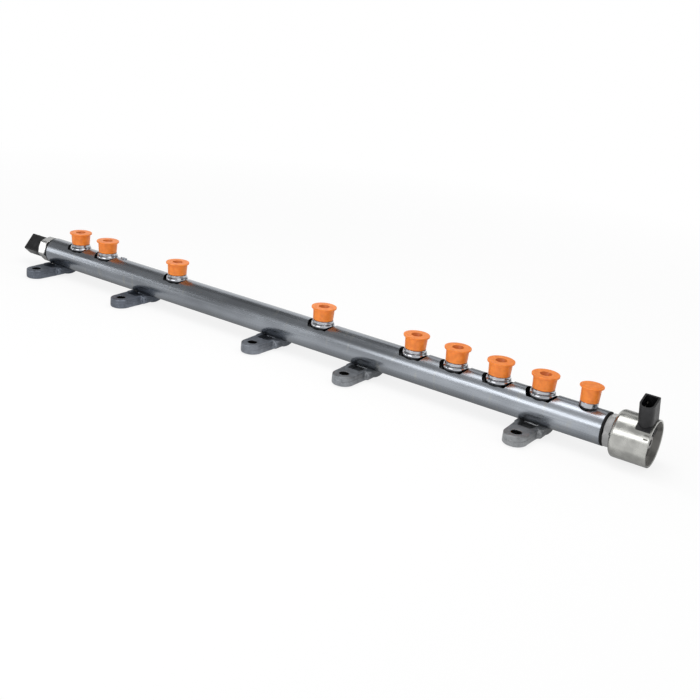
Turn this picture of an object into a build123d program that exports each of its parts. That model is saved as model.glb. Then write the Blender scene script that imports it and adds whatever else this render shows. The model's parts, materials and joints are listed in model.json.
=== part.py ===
import os
from math import asin, cos, degrees, pi, radians, sin, sqrt, tan

from build123d import *

os.makedirs("parts", exist_ok=True)

# High-pressure fuel rail of a diesel engine, in millimetres.
# X runs along the rail towards the pressure valve, -Y is the side of the bolt lugs, Z is up.
# The origin is the bolt hole of the middle foot, on the plane that the feet are bolted down on.

# Rail tube
rail_diameter = 24.0
rail_bore = 10.0
rail_length = 543.0
rail_chamfer = 0.4
rail_drilling = 3.0        # cross drilling under each port
rail_left = -264.0         # left end of the tube, along X
bolt_to_rail = 30.0        # from the bolt holes to the rail's axis, along Y
axis_height = 17.5         # from the mounting plane to the rail's axis
pad_station = 86.5         # oval pad that marks which way round the tube goes
pad_length = 7.0
pad_width = 4.0
pad_height = 1.0
pad_dimple = 0.5
pad_clock = -14.0          # turned away from the top, towards the back

# Distances from the rail's left end to what stands on its left part
port_1_place = 34.0
port_2_place = 69.0
port_3_place = 154.0
foot_1_place = 8.8
foot_2_place = 118.0
foot_3_place = 264.0

# Distances back from the rail's right end to what stands on its right part
port_4_back = 234.5
port_5_back = 150.5
port_6_back = 116.0
port_7_back = 81.5
port_8_back = 47.7
spigot_back = 14.5
foot_4_back = 191.0
foot_5_back = 50.0

# Clearances between pieces
braze_gap = 0.05           # around the tube, in each saddle and cradle
thread_gap = 0.08          # radial, between a male thread and its tapped hole
seat_gap = 0.1             # between faces that only stand on each other
press_gap = 0.02           # radial, between pieces pressed together
running_gap = 0.05         # radial, around the valve's moving pin
cap_gap = 0.06             # radial, between a transit cap and what it is pushed onto

# High-pressure port: union with an M14 thread, brazed on a round flat milled into the tube
port_thread = 14.0
port_recess_diameter = 23.6
port_seat = 8.4            # heights are above the rail's axis
port_base_diameter = 18.8
port_base_top = 12.4
port_base_rounding = 1.2
port_collar_diameter = 16.2
port_collar_top = 14.5
port_relief = 1.0
port_top = 22.5
port_cone_mouth = 9.6
port_cone_angle = 60.0
port_thread_chamfer = 0.8

# Transit cap on a port
cap_flange_diameter = 19.6
cap_flange_thickness = 1.3
cap_sleeve_top_diameter = 16.8
cap_sleeve_foot_diameter = 15.7
cap_foot = 14.7
cap_roof = 2.4
cap_recess_diameter = 8.6
cap_recess_taper = 1.1
cap_plug_wall = 0.8
cap_plug_depth = 3.4
cap_edge = 0.3

# Low-pressure return spigot and its cap
spigot_recess_diameter = 15.0
spigot_seat = 10.8
spigot_collar_diameter = 12.9
spigot_collar_top = 15.6
spigot_groove_depth = 0.5
spigot_groove_width = 0.9
spigot_foot_diameter = 13.2
spigot_foot_height = 11.9
spigot_stem_diameter = 9.6
spigot_barb_diameter = 10.4
spigot_top = 24.6
spigot_bore = 4.0
return_flange_diameter = 16.6
return_flange_thickness = 1.3
return_sleeve_top_diameter = 13.6
return_sleeve_foot_diameter = 12.8
return_top = 27.0
return_rim_width = 1.6
return_step = 0.35

# Foot: a bolt lug and the cradle that the tube is brazed into
bolt_hole = 7.2
lug_width = 17.6
lug_thickness = 8.0
lug_flare = 0.3            # how much each side has widened where the lug meets the cradle
lug_edge = 0.9
lug_back = 2.0             # the lug's plate ends this far before the rail's axis
cradle_left = 9.9          # from the middle of the lug to each end of the cradle
cradle_right = 12.6
cradle_front = 15.0        # from the bolt hole to the front of the cradle
cradle_front_height = 6.6
cradle_lift = 1.0          # the cradle clears the mounting plane by this, beside the lug
cradle_back_height = 12.0
cradle_edge = 2.2
pocket_front_width = 10.4
pocket_back_width = 13.6   # the pocket widens towards the tube
pocket_front = 12.0        # from the bolt hole to the pocket between the two arms
pocket_depth = 3.6
pocket_corner = 1.6
hole_chamfer = 0.25

# Threaded ends of the tube
end_thread = 18.0
sensor_seat_depth = 15.0
valve_seat_depth = 22.0
end_thread_chamfer = 0.8

# Rail pressure sensor, measured outwards from the tube's left end
sensor_washer_thickness = 1.6
sensor_washer_diameter = 23.2
sensor_collar = 1.2
sensor_collar_diameter = 20.4
sensor_hex_flats = 20.0
sensor_hex_length = 9.6
sensor_hex_clock = 17.0
sensor_bore = 3.0
sensor_chamber_diameter = 14.0
sensor_chamber_depth = 8.4
sensor_element_diameter = 9.0
sensor_element_height = 3.4
sensor_diaphragm = 0.5
sensor_board_thickness = 1.0
sensor_plug_length = 2.0
sensor_base_length = 2.4
sensor_housing_length = 21.5
sensor_housing_long = 16.6
sensor_housing_short = 10.2
sensor_housing_corner = 1.1
sensor_housing_clock = -42.0
sensor_wall = 1.3
sensor_socket_depth = 11.0
sensor_pin_count = 3
sensor_pin_pitch = 4.2
sensor_pin_width = 1.5
sensor_pin_thickness = 0.6
sensor_pin_reach = 6.5
latch_length = 5.0
latch_width = 4.6
latch_height = 1.1

# Pressure control valve, measured outwards from the tube's right end
valve_washer_thickness = 1.2
valve_washer_diameter = 23.9
valve_hex_flats = 21.0
valve_hex_clock = 20.0
valve_hex_end = 7.0
valve_gallery_diameter = 14.8
valve_gallery_end = 11.5     # depth of the ring-shaped return gallery's near end
valve_groove_start = 9.4
valve_groove_width = 2.6
valve_groove_depth = 1.7
valve_seat_diameter = 10.4
valve_seat_thickness = 4.0
valve_orifice = 1.0
valve_cone_mouth = 2.6
valve_chamber_diameter = 6.8
valve_chamber_length = 5.0
valve_outlet = 2.4
valve_outlet_count = 4
ball_diameter = 3.0
ball_lift = 0.05
pin_diameter = 3.0
valve_collar_diameter = 20.0
valve_flange_thickness = 2.0
armature_diameter = 14.0
armature_length = 7.0
armature_start = 11.2
armature_travel = 0.4
armature_margin = 0.1
armature_side_gap = 0.25
sleeve_wall = 0.8
sleeve_end = 26.0
spring_diameter = 5.4
spring_wire = 0.8
spring_turns = 4
spring_pocket_diameter = 6.4
spring_pocket_depth = 6.3
spring_clearance = 0.5
bobbin_barrel_wall = 1.0
bobbin_flange = 1.2
bobbin_end = 25.2
winding_margin = 0.7       # from the winding to the inside of the can
can_diameter = 33.0
can_length = 26.3
can_wall = 1.4
can_rounding = 3.0
can_rim_rounding = 0.5
yoke_thickness = 2.6
core_boss_diameter = 9.0
core_boss_height = 2.6
core_recess_diameter = 4.6
core_recess_depth = 1.6
cover_thickness = 1.3
cover_drop = 2.0           # how far the half-round cover reaches below the valve's axis
cover_rib_count = 4
cover_rib_pitch = 44.0
cover_rib_width = 1.6
cover_rib_length = 7.5
cover_rib_height = 0.9

# Valve connector: a D-shaped socket that stands on the can
tower_clock = 20.0         # leaned from upright towards the bolt lugs
tower_centre = 27.0        # along the rail, from the tube's right end
tower_width = 10.4
tower_front = 6.6
tower_back = 7.9
tower_top = 33.0
tower_wall = 1.25
tower_back_corner = 0.8
tower_socket_depth = 11.0
apron_width = 9.8
apron_front = 7.8
apron_height = 1.1
apron_corner = 0.6
tower_neck_width = 8.0
tower_neck_length = 5.0
tower_neck_offset = -1.5
tower_pin_pitch = 4.6
tower_pin_width = 1.8
tower_pin_thickness = 0.7
tower_pin_reach = 8.5

rail_radius = rail_diameter / 2
rail_right = rail_left + rail_length
port_stations = [
    port_1_place, port_2_place, port_3_place, rail_length - port_4_back, rail_length - port_5_back,
    rail_length - port_6_back, rail_length - port_7_back, rail_length - port_8_back,
]
spigot_station = rail_length - spigot_back
foot_stations = [
    foot_1_place, foot_2_place, foot_3_place, rail_length - foot_4_back, rail_length - foot_5_back,
]
end_bore = end_thread / 2
end_shank = end_bore - thread_gap
can_start = valve_hex_end
can_end = can_start + can_length
can_inner = can_diameter / 2 - can_wall
flange_start = can_start + can_wall + seat_gap
flange_end = flange_start + valve_flange_thickness
armature_end = armature_start + armature_length
core_start = armature_end + armature_travel + armature_margin
bobbin_start = flange_end + seat_gap
sleeve_inner = armature_diameter / 2 + armature_side_gap
sleeve_outer = sleeve_inner + sleeve_wall
yoke_start = bobbin_end + seat_gap
yoke_end = yoke_start + yoke_thickness
tower_bottom = can_diameter / 2 + braze_gap


def turned(profile):
    """Solid turned about Z from the (height, radius) corners of its half section."""
    outline = Polyline(*[(radius, 0, height) for height, radius in profile], close=True)
    return revolve(make_face(outline), Axis.Z, 360)


def rings(solid, height, radius):
    """The round edges of a turned solid at one height and radius."""
    found = []
    for edge in solid.edges().filter_by(GeomType.CIRCLE):
        if abs(edge.arc_center.Z - height) < 0.01 and abs(edge.radius - radius) < 0.01:
            found.append(edge)
    return found


def upright(station, solid):
    """A piece made with Z = 0 on the rail's axis, stood at a station along the rail."""
    return Pos(rail_left + station, bolt_to_rail, axis_height) * solid


def outward(solid, clock=0.0):
    """A piece made along Z from the tube's right end, pointing away from the tube."""
    return Pos(rail_right, bolt_to_rail, axis_height) * Rot(clock, 0, 0) * Rot(0, 90, 0) * solid


def outward_left(solid, clock=0.0):
    """A piece made along Z from the tube's left end, pointing away from the tube."""
    return Pos(rail_left, bolt_to_rail, axis_height) * Rot(clock, 0, 0) * Rot(0, -90, 0) * solid


def bar(diameter, length):
    """Round bar along X, centred on the origin."""
    return Rot(0, 90, 0) * Cylinder(diameter / 2, length)


def hexagon_bar(flats, start, end, chamfer):
    """Hexagon bar along Z with the corners of both ends turned off."""
    bar_length = end - start
    prism = Pos(0, 0, start) * extrude(RegularPolygon(flats / 2, 6, major_radius=False), bar_length)
    corner = flats / 2 / cos(radians(30))
    face = flats / 2 - chamfer / 4
    drop = (corner - face) * tan(radians(30))
    return prism & turned([
        (start, 0), (start, face), (start + drop, corner), (end - drop, corner), (end, face), (end, 0),
    ])


def rail_tube():
    """Tube with a bore, two tapped ends, milled flats and drillings for the ports, and a pad."""
    tube = turned([
        (0, end_bore + end_thread_chamfer),
        (0, rail_radius - rail_chamfer),
        (rail_chamfer, rail_radius),
        (rail_length - rail_chamfer, rail_radius),
        (rail_length, rail_radius - rail_chamfer),
        (rail_length, end_bore + end_thread_chamfer),
        (rail_length - end_thread_chamfer, end_bore),
        (rail_length - valve_seat_depth, end_bore),
        (rail_length - valve_seat_depth, rail_bore / 2),
        (sensor_seat_depth, rail_bore / 2),
        (sensor_seat_depth, end_bore),
        (end_thread_chamfer, end_bore),
    ])
    tube = Pos(rail_left, bolt_to_rail, axis_height) * Rot(0, 90, 0) * tube
    outline = Ellipse(pad_width / 2, pad_length / 2)
    pad_reach = rail_radius + pad_height
    pad = Pos(0, 0, rail_bore / 2 + 1) * extrude(outline, pad_reach - rail_bore / 2 - 1)
    pad = fillet(pad.edges().group_by(Axis.Z)[-1], pad_height / 2)
    dimple = Pos(0, 0, pad_reach - pad_dimple) * extrude(scale(outline, 0.5), pad_height)
    tube = tube + upright(pad_station, Rot(pad_clock, 0, 0) * (pad - dimple))
    recess = Pos(0, 0, port_seat) * extrude(Circle(port_recess_diameter / 2), rail_diameter)
    for station in port_stations:
        tube = tube - upright(station, recess)
    recess = Pos(0, 0, spigot_seat) * extrude(Circle(spigot_recess_diameter / 2), rail_diameter)
    tube = tube - upright(spigot_station, recess)
    for station in port_stations + [spigot_station]:
        tube = tube - upright(station, extrude(Circle(rail_drilling / 2), rail_diameter))
    return tube


def port():
    """Union: base on the tube's flat, collar, thread for the pipe nut and a cone seat."""
    foot_height = port_seat + braze_gap
    base = port_base_diameter / 2
    collar = port_collar_diameter / 2
    thread = port_thread / 2
    relief = thread - port_relief / 2
    cone_depth = (port_cone_mouth - rail_drilling) / 2 / tan(radians(port_cone_angle / 2))
    body = turned([
        (foot_height, rail_drilling / 2),
        (foot_height, base),
        (port_base_top, base),
        (port_base_top, collar),
        (port_collar_top, collar),
        (port_collar_top, relief),
        (port_collar_top + port_relief, relief),
        (port_collar_top + 1.5 * port_relief, thread),
        (port_top - port_thread_chamfer, thread),
        (port_top, thread - port_thread_chamfer),
        (port_top, port_cone_mouth / 2),
        (port_top - cone_depth, rail_drilling / 2),
    ])
    body = fillet(rings(body, port_base_top, base), port_base_rounding)
    return fillet(rings(body, foot_height, base) + rings(body, port_collar_top, collar), 0.4)


def port_cap():
    """Push-on transit cap: flange, tapering sleeve and a hollow plug that enters the cone."""
    ceiling = port_top + seat_gap
    top = ceiling + cap_roof
    under = top - cap_flange_thickness
    bore = port_thread / 2 + cap_gap
    cone = tan(radians(port_cone_angle / 2))
    plug = port_cone_mouth / 2 - 0.5
    plug_tip = ceiling - cap_plug_depth
    tip = plug - cap_plug_depth * cone
    recess = cap_recess_diameter / 2
    neck = recess - cap_recess_taper
    floor_radius = tip - cap_plug_wall / 2
    cap = turned([
        (cap_foot, bore),
        (cap_foot, cap_sleeve_foot_diameter / 2),
        (under, cap_sleeve_top_diameter / 2),
        (under, cap_flange_diameter / 2),
        (top, cap_flange_diameter / 2),
        (top, recess),
        (ceiling, neck),
        (plug_tip + cap_plug_wall, floor_radius),
        (plug_tip + cap_plug_wall, 0),
        (plug_tip, 0),
        (plug_tip, tip),
        (ceiling, plug),
        (ceiling, bore),
    ])
    flange = cap_flange_diameter / 2
    return fillet(rings(cap, top, flange) + rings(cap, under, flange), cap_edge)


def return_spigot():
    """Low-pressure spigot: brazed foot, smooth collar and a hose stem with one barb."""
    foot_base = spigot_seat + braze_gap
    stem = spigot_stem_diameter / 2
    barb = spigot_barb_diameter / 2
    collar = spigot_collar_diameter / 2
    groove_top = spigot_foot_height + spigot_groove_width
    body = turned([
        (foot_base, spigot_bore / 2),
        (foot_base, spigot_foot_diameter / 2),
        (spigot_foot_height, spigot_foot_diameter / 2),
        (spigot_foot_height, collar - spigot_groove_depth),
        (groove_top, collar - spigot_groove_depth),
        (groove_top, collar),
        (spigot_collar_top, collar),
        (spigot_collar_top, stem),
        (spigot_top - 4, stem),
        (spigot_top - 3.6, barb),
        (spigot_top - 2.8, barb),
        (spigot_top, stem - 0.8),
        (spigot_top, spigot_bore / 2),
    ])
    body = fillet(rings(body, spigot_collar_top, collar), 0.4)
    return fillet(rings(body, spigot_foot_height, spigot_foot_diameter / 2), 0.3)


def return_cap():
    """Push-on transit cap of the return spigot, closed on top."""
    under = return_top - return_flange_thickness
    bore = spigot_barb_diameter / 2 + cap_gap
    flange = return_flange_diameter / 2
    ridge = flange - return_rim_width
    cap = turned([
        (spigot_collar_top + seat_gap, bore),
        (spigot_collar_top + seat_gap, return_sleeve_foot_diameter / 2),
        (under, return_sleeve_top_diameter / 2),
        (under, flange),
        (return_top - return_step, flange),
        (return_top - return_step, ridge),
        (return_top, ridge - return_step),
        (return_top, 0),
        (spigot_top + seat_gap, 0),
        (spigot_top + seat_gap, bore),
    ])
    return fillet(rings(cap, return_top - return_step, flange) + rings(cap, under, flange), cap_edge)


def foot():
    """Forged foot: lug with a bolt hole, two arms beside a pocket, and the tube's cradle."""
    half = lug_width / 2
    back = bolt_to_rail - lug_back
    plan = Circle(half) + make_face(Polyline(
        (-half, 0), (half, 0), (half + lug_flare, cradle_front), (half + lug_flare, back),
        (-half - lug_flare, back), (-half - lug_flare, cradle_front), close=True,
    ))
    lug = extrude(plan, lug_thickness)
    lug = fillet(lug.edges().group_by(Axis.Z)[0] + lug.edges().group_by(Axis.Z)[-1], lug_edge)

    front = Pos((cradle_front + bolt_to_rail) / 2, (cradle_lift + cradle_front_height) / 2) * Rectangle(
        bolt_to_rail - cradle_front, cradle_front_height - cradle_lift)
    section = front + Pos(bolt_to_rail, axis_height) * Circle(axis_height)
    cradle_width = cradle_left + cradle_right
    cradle = Pos(-cradle_left, 0, 0) * extrude(Plane.YZ * section, cradle_width)
    ends = cradle.edges().group_by(Axis.X)
    cradle = fillet(ends[0] + ends[-1], cradle_edge)
    above = 2 * axis_height
    open_top = make_face(Polyline(
        (0, lug_thickness), (bolt_to_rail, lug_thickness),
        (bolt_to_rail + rail_radius * 0.7, cradle_back_height),
        (bolt_to_rail + above, cradle_back_height), (bolt_to_rail + above, above), (0, above), close=True,
    ))
    cradle = cradle - Pos(-cradle_width, 0, 0) * extrude(Plane.YZ * open_top, 2 * cradle_width)

    front_half = pocket_front_width / 2
    back_half = pocket_back_width / 2
    pocket_back = bolt_to_rail - 3
    pocket = make_face(Polyline(
        (-front_half, pocket_front), (front_half, pocket_front), (back_half, pocket_back),
        (-back_half, pocket_back), close=True,
    ))
    pocket = fillet(pocket.vertices(), pocket_corner)
    pocket = Pos(0, 0, lug_thickness - pocket_depth) * extrude(pocket, lug_thickness)
    hole = turned([
        (-1, 0),
        (-1, bolt_hole / 2),
        (lug_thickness - hole_chamfer, bolt_hole / 2),
        (lug_thickness + hole_chamfer, bolt_hole / 2 + 2 * hole_chamfer),
        (lug_thickness + hole_chamfer, 0),
    ])
    tube = Pos(0, bolt_to_rail, axis_height) * bar(rail_diameter + 2 * braze_gap, 2 * cradle_width)
    return lug + cradle - pocket - hole - tube


def sensor_body():
    """Steel body of the sensor: threaded shank, collar, hexagon and an open chamber."""
    hex_start = sensor_washer_thickness + sensor_collar
    hex_end = hex_start + sensor_hex_length
    chamber_floor = hex_end - sensor_chamber_depth
    tip = -sensor_seat_depth + seat_gap
    body = turned([
        (tip, sensor_bore / 2),
        (tip, end_shank - 2.2),
        (tip + 2.2, end_shank),
        (sensor_washer_thickness, end_shank),
        (sensor_washer_thickness, sensor_collar_diameter / 2),
        (hex_start + 1, sensor_collar_diameter / 2 - 0.6),
        (hex_start + 1, sensor_bore / 2),
    ])
    body = body + Rot(0, 0, sensor_hex_clock) * hexagon_bar(sensor_hex_flats, hex_start, hex_end, 1.0)
    chamber = Pos(0, 0, chamber_floor) * extrude(Circle(sensor_chamber_diameter / 2), sensor_chamber_depth)
    bore = Pos(0, 0, tip) * extrude(Circle(sensor_bore / 2), chamber_floor - tip)
    return body - chamber - bore


def sensor_washer():
    """Dark sealing washer between the tube's end and the sensor's collar."""
    inner = end_shank + press_gap
    return turned([
        (0, inner), (0, sensor_washer_diameter / 2 - 0.3), (0.3, sensor_washer_diameter / 2),
        (sensor_washer_thickness - 0.3, sensor_washer_diameter / 2),
        (sensor_washer_thickness, sensor_washer_diameter / 2 - 0.3), (sensor_washer_thickness, inner),
    ])


def sensor_floor():
    """Distance from the tube's left end to the floor of the sensor's chamber."""
    return sensor_washer_thickness + sensor_collar + sensor_hex_length - sensor_chamber_depth


def sensor_element():
    """Steel pressure cup with a thin diaphragm over the sensor's bore."""
    floor = sensor_floor()
    radius = sensor_element_diameter / 2
    top = floor + sensor_element_height
    return turned([
        (floor, sensor_bore / 2), (floor, radius + 0.8), (floor + 0.9, radius + 0.8), (floor + 0.9, radius),
        (top, radius), (top, 0), (top - sensor_diaphragm, 0), (top - sensor_diaphragm, sensor_bore / 2),
    ])


def sensor_board():
    """Round circuit board that stands on the pressure cup."""
    top = sensor_floor() + sensor_element_height + seat_gap
    board = Pos(0, 0, top) * extrude(Circle(sensor_chamber_diameter / 2 - press_gap), sensor_board_thickness)
    return board


def latch(reach):
    """Wedge that a mating plug snaps over: it stands out along X and slopes along Z."""
    outline = make_face(Polyline(
        (0, 0), (latch_height, latch_length * 0.4), (latch_height, latch_length * 0.6),
        (0, latch_length), close=True,
    ))
    wedge = extrude(Plane.XZ * outline, latch_width / 2, both=True)
    return Pos(reach, 0, 0) * wedge


def sensor_housing():
    """Moulded connector housing with a plug into the chamber and an open socket."""
    hex_end = sensor_washer_thickness + sensor_collar + sensor_hex_length
    end = hex_end + sensor_housing_length
    plug = Pos(0, 0, hex_end - sensor_plug_length) * extrude(
        Circle(sensor_chamber_diameter / 2 - press_gap), sensor_plug_length)
    base = Pos(0, 0, hex_end) * extrude(Circle(sensor_hex_flats / 2 - 0.6), sensor_base_length)
    outline = RectangleRounded(sensor_housing_long, sensor_housing_short, sensor_housing_corner)
    box = Pos(0, 0, hex_end) * extrude(outline, sensor_housing_length)
    socket = Pos(0, 0, end - sensor_socket_depth) * extrude(
        RectangleRounded(sensor_housing_long - 2 * sensor_wall, sensor_housing_short - 2 * sensor_wall,
                         sensor_housing_corner / 2), sensor_socket_depth)
    wedge = Pos(0, 0, end - latch_length - 3) * latch(sensor_housing_long / 2 - 0.2)
    housing = base + box + plug + wedge - socket
    for slot in sensor_pin_slots():
        housing = housing - slot
    return housing


def sensor_pin_bars(grow):
    """The sensor's terminals as flat bars, each side grown by a clearance."""
    hex_end = sensor_washer_thickness + sensor_collar + sensor_hex_length
    start = hex_end - sensor_plug_length - 0.6
    end = hex_end + sensor_housing_length - sensor_socket_depth + sensor_pin_reach
    bars = []
    for index in range(sensor_pin_count):
        place = (index - (sensor_pin_count - 1) / 2) * sensor_pin_pitch
        size = Rectangle(sensor_pin_thickness + 2 * grow, sensor_pin_width + 2 * grow)
        bars.append(Pos(place, 0, start) * extrude(size, end - start))
    return bars


def sensor_pin_slots():
    """Slots that the terminals pass through in the housing."""
    return sensor_pin_bars(press_gap)


def valve_body():
    """Steel body of the valve: nose with the seat and outlets, thread, hexagon and flange."""
    tip = -valve_seat_depth + seat_gap
    gallery = valve_gallery_diameter / 2
    seat = valve_seat_diameter / 2
    chamber_floor = tip + valve_seat_thickness
    chamber_top = chamber_floor + valve_chamber_length
    groove = end_shank - valve_groove_depth
    guide = pin_diameter / 2 + running_gap
    body = turned([
        (tip, seat),
        (tip, gallery - 1),
        (tip + 1, gallery),
        (-valve_gallery_end, gallery),
        (-valve_gallery_end, end_shank),
        (-valve_groove_start, end_shank),
        (-valve_groove_start, groove),
        (-valve_groove_start + valve_groove_width, groove),
        (-valve_groove_start + valve_groove_width, end_shank),
        (valve_washer_thickness, end_shank),
        (valve_washer_thickness, valve_collar_diameter / 2),
        (flange_start, valve_collar_diameter / 2),
        (flange_start, can_inner - seat_gap - can_rounding + can_wall),
        (flange_start + can_rounding - can_wall, can_inner - seat_gap),
        (flange_end, can_inner - seat_gap),
        (flange_end, guide),
        (chamber_top, guide),
        (chamber_top, valve_chamber_diameter / 2),
        (chamber_floor, valve_chamber_diameter / 2),
        (chamber_floor, seat),
    ])
    neck = hexagon_bar(valve_hex_flats, valve_washer_thickness, can_start - seat_gap, 1.0)
    neck = Rot(0, 0, valve_hex_clock) * neck
    body = body + (neck - Cylinder(valve_collar_diameter / 2 - 0.5, 4 * can_start))
    for index in range(valve_outlet_count):
        outlet = Rot(0, 90, 0) * extrude(Circle(valve_outlet / 2), end_bore)
        turn = index * 360 / valve_outlet_count
        body = body - Pos(0, 0, (chamber_floor + chamber_top) / 2) * Rot(0, 0, turn) * outlet
    return body


def valve_washer():
    """Dark sealing ring between the tube's end and the valve's hexagon."""
    inner = end_shank + press_gap
    outer = valve_washer_diameter / 2
    return turned([
        (0, inner), (0, outer - 0.3), (0.3, outer), (valve_washer_thickness - 0.3, outer),
        (valve_washer_thickness, outer - 0.3), (valve_washer_thickness, inner),
    ])


def valve_o_ring():
    """Rubber ring in the nose's groove, between the return gallery and the thread."""
    floor = end_shank - valve_groove_depth
    section = (end_bore - floor) / 2 - press_gap
    middle = -valve_groove_start + valve_groove_width / 2
    return Pos(0, 0, middle) * Torus((end_bore + floor) / 2, section)


def valve_seat():
    """Hard seat plate: an orifice that opens into a cone for the ball."""
    tip = -valve_seat_depth + seat_gap
    top = tip + valve_seat_thickness - press_gap
    cone = (valve_cone_mouth - valve_orifice) / 2
    return turned([
        (tip, valve_orifice / 2), (tip, valve_seat_diameter / 2 - press_gap),
        (top, valve_seat_diameter / 2 - press_gap), (top, valve_cone_mouth / 2),
        (top - cone, valve_orifice / 2),
    ])


def ball_height():
    """Height of the ball's centre when it stands a hair above the seat's cone."""
    top = -valve_seat_depth + seat_gap + valve_seat_thickness - press_gap
    contact = ball_diameter / 2 * sin(radians(45))
    below_top = valve_cone_mouth / 2 - contact
    return top - below_top + contact + ball_lift


def valve_ball():
    """Steel ball that closes the orifice."""
    return Pos(0, 0, ball_height()) * Sphere(ball_diameter / 2)


def valve_pin():
    """Pin from the ball to the back of the armature."""
    start = ball_height() + ball_diameter / 2
    return Pos(0, 0, start) * extrude(Circle(pin_diameter / 2), armature_end - start)


def valve_armature():
    """Soft-iron armature pressed on the pin, with a through groove on each side."""
    bore = pin_diameter / 2 + press_gap
    radius = armature_diameter / 2
    body = turned([(armature_start, bore), (armature_start, radius), (armature_end, radius), (armature_end, bore)])
    body = chamfer(rings(body, armature_end, radius) + rings(body, armature_start, radius), 0.4)
    for side in (-1, 1):
        body = body - Pos(side * radius, 0, armature_start) * extrude(Circle(1.2), armature_length)
    return body


def valve_spring():
    """Coil spring in the core's pocket; it pushes the armature towards the seat."""
    pocket_floor = core_start + spring_pocket_depth
    start = armature_end + spring_clearance + spring_wire / 2
    height = pocket_floor - seat_gap - spring_wire / 2 - start
    radius = (spring_diameter - spring_wire) / 2
    path = Pos(0, 0, start) * Helix(pitch=height / spring_turns, height=height, radius=radius)
    section = Plane(origin=path @ 0, z_dir=path % 0) * Circle(spring_wire / 2)
    return sweep(section, path=path)


def valve_sleeve():
    """Non-magnetic sleeve that guides the armature and closes the wet space."""
    return turned([
        (flange_end, sleeve_inner), (flange_end, sleeve_outer),
        (sleeve_end, sleeve_outer), (sleeve_end, sleeve_inner),
    ])


def valve_core():
    """Fixed iron core with the spring's pocket and the boss seen in the valve's end."""
    radius = sleeve_inner - press_gap
    boss = core_boss_diameter / 2
    top = yoke_end + core_boss_height
    pocket_floor = core_start + spring_pocket_depth
    core = turned([
        (core_start, spring_pocket_diameter / 2),
        (core_start, radius),
        (yoke_end, radius),
        (yoke_end, boss),
        (top, boss),
        (top, core_recess_diameter / 2),
        (top - core_recess_depth, core_recess_diameter / 2),
        (top - core_recess_depth, 0),
        (pocket_floor, 0),
        (pocket_floor, spring_pocket_diameter / 2),
    ])
    return fillet(rings(core, top, boss), 0.8)


def valve_bobbin():
    """Moulded bobbin that the winding is wound on."""
    inner = sleeve_outer + press_gap
    barrel = inner + bobbin_barrel_wall
    flange = can_inner - seat_gap
    return turned([
        (bobbin_start, inner), (bobbin_start, flange), (bobbin_start + bobbin_flange, flange),
        (bobbin_start + bobbin_flange, barrel), (bobbin_end - bobbin_flange, barrel),
        (bobbin_end - bobbin_flange, flange), (bobbin_end, flange), (bobbin_end, inner),
    ])


def valve_winding():
    """Copper winding between the bobbin's flanges."""
    inner = sleeve_outer + press_gap + bobbin_barrel_wall + press_gap
    start = bobbin_start + bobbin_flange + press_gap
    end = bobbin_end - bobbin_flange - press_gap
    outer = can_inner - winding_margin
    return turned([(start, inner), (start, outer), (end, outer), (end, inner)])


def valve_yoke():
    """Steel end plate that closes the magnetic path between the core and the can."""
    inner = sleeve_outer + press_gap
    outer = can_inner - press_gap
    return turned([(yoke_start, inner), (yoke_start, outer), (yoke_end, outer), (yoke_end, inner)])


def valve_cover():
    """Moulded half-round cover with ribs in the recess, on the connector's side of the boss."""
    inner = core_boss_diameter / 2 + seat_gap
    outer = can_inner - press_gap
    bottom = yoke_end + seat_gap
    top = bottom + cover_thickness
    cover = turned([(bottom, inner), (bottom, outer), (top, outer), (top, inner)])
    cover = cover - Pos(cover_drop + outer, 0, bottom) * Box(2 * outer, 4 * outer, 4 * outer)
    for index in range(cover_rib_count):
        rib = Pos(inner + 1 + cover_rib_length / 2, 0, top) * extrude(
            Rectangle(cover_rib_length, cover_rib_width), cover_rib_height)
        turn = 180 + (index - (cover_rib_count - 1) / 2) * cover_rib_pitch
        cover = cover + Rot(0, 0, turn) * rib
    return cover


def tower_section(grow):
    """D outline of the connector: round towards the front, square at the back."""
    half = tower_width / 2 + grow
    front = tower_front + grow - half
    back = tower_back + grow
    outline = Polyline((half, -front), (half, back), (-half, back), (-half, -front))
    nose = RadiusArc((half, -front), (-half, -front), half)
    face = make_face([outline, nose])
    corners = [vertex for vertex in face.vertices() if vertex.Y > 0]
    return fillet(corners, tower_back_corner)


def on_can(solid):
    """A piece of the connector, made with Z = 0 on the rail's axis, leaned to its place."""
    place = Pos(rail_right + tower_centre, bolt_to_rail, axis_height)
    return place * Rot(tower_clock, 0, 0) * solid


def tower_window(grow):
    """The neck that joins the connector to the bobbin through the can's wall."""
    size = Rectangle(tower_neck_length + 2 * grow, tower_neck_width + 2 * grow)
    low = can_inner + seat_gap if grow == 0 else can_inner - can_wall
    return Pos(tower_neck_offset, 0, low) * extrude(size, tower_top - tower_socket_depth - 2 - low)


def valve_can():
    """Drawn steel can: rounded shoulder, open end with a rounded rim, slot for the connector."""
    outer = can_diameter / 2
    hole = valve_collar_diameter / 2 + seat_gap
    can = turned([
        (can_start, hole), (can_start, outer), (can_end, outer), (can_end, can_inner),
        (can_start + can_wall, can_inner), (can_start + can_wall, hole),
    ])
    can = fillet(rings(can, can_start, outer), can_rounding)
    can = fillet(rings(can, can_start + can_wall, can_inner), can_rounding - can_wall)
    can = fillet(rings(can, can_end, outer) + rings(can, can_end, can_inner), can_rim_rounding)
    return outward(can) - on_can(tower_window(seat_gap))


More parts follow.
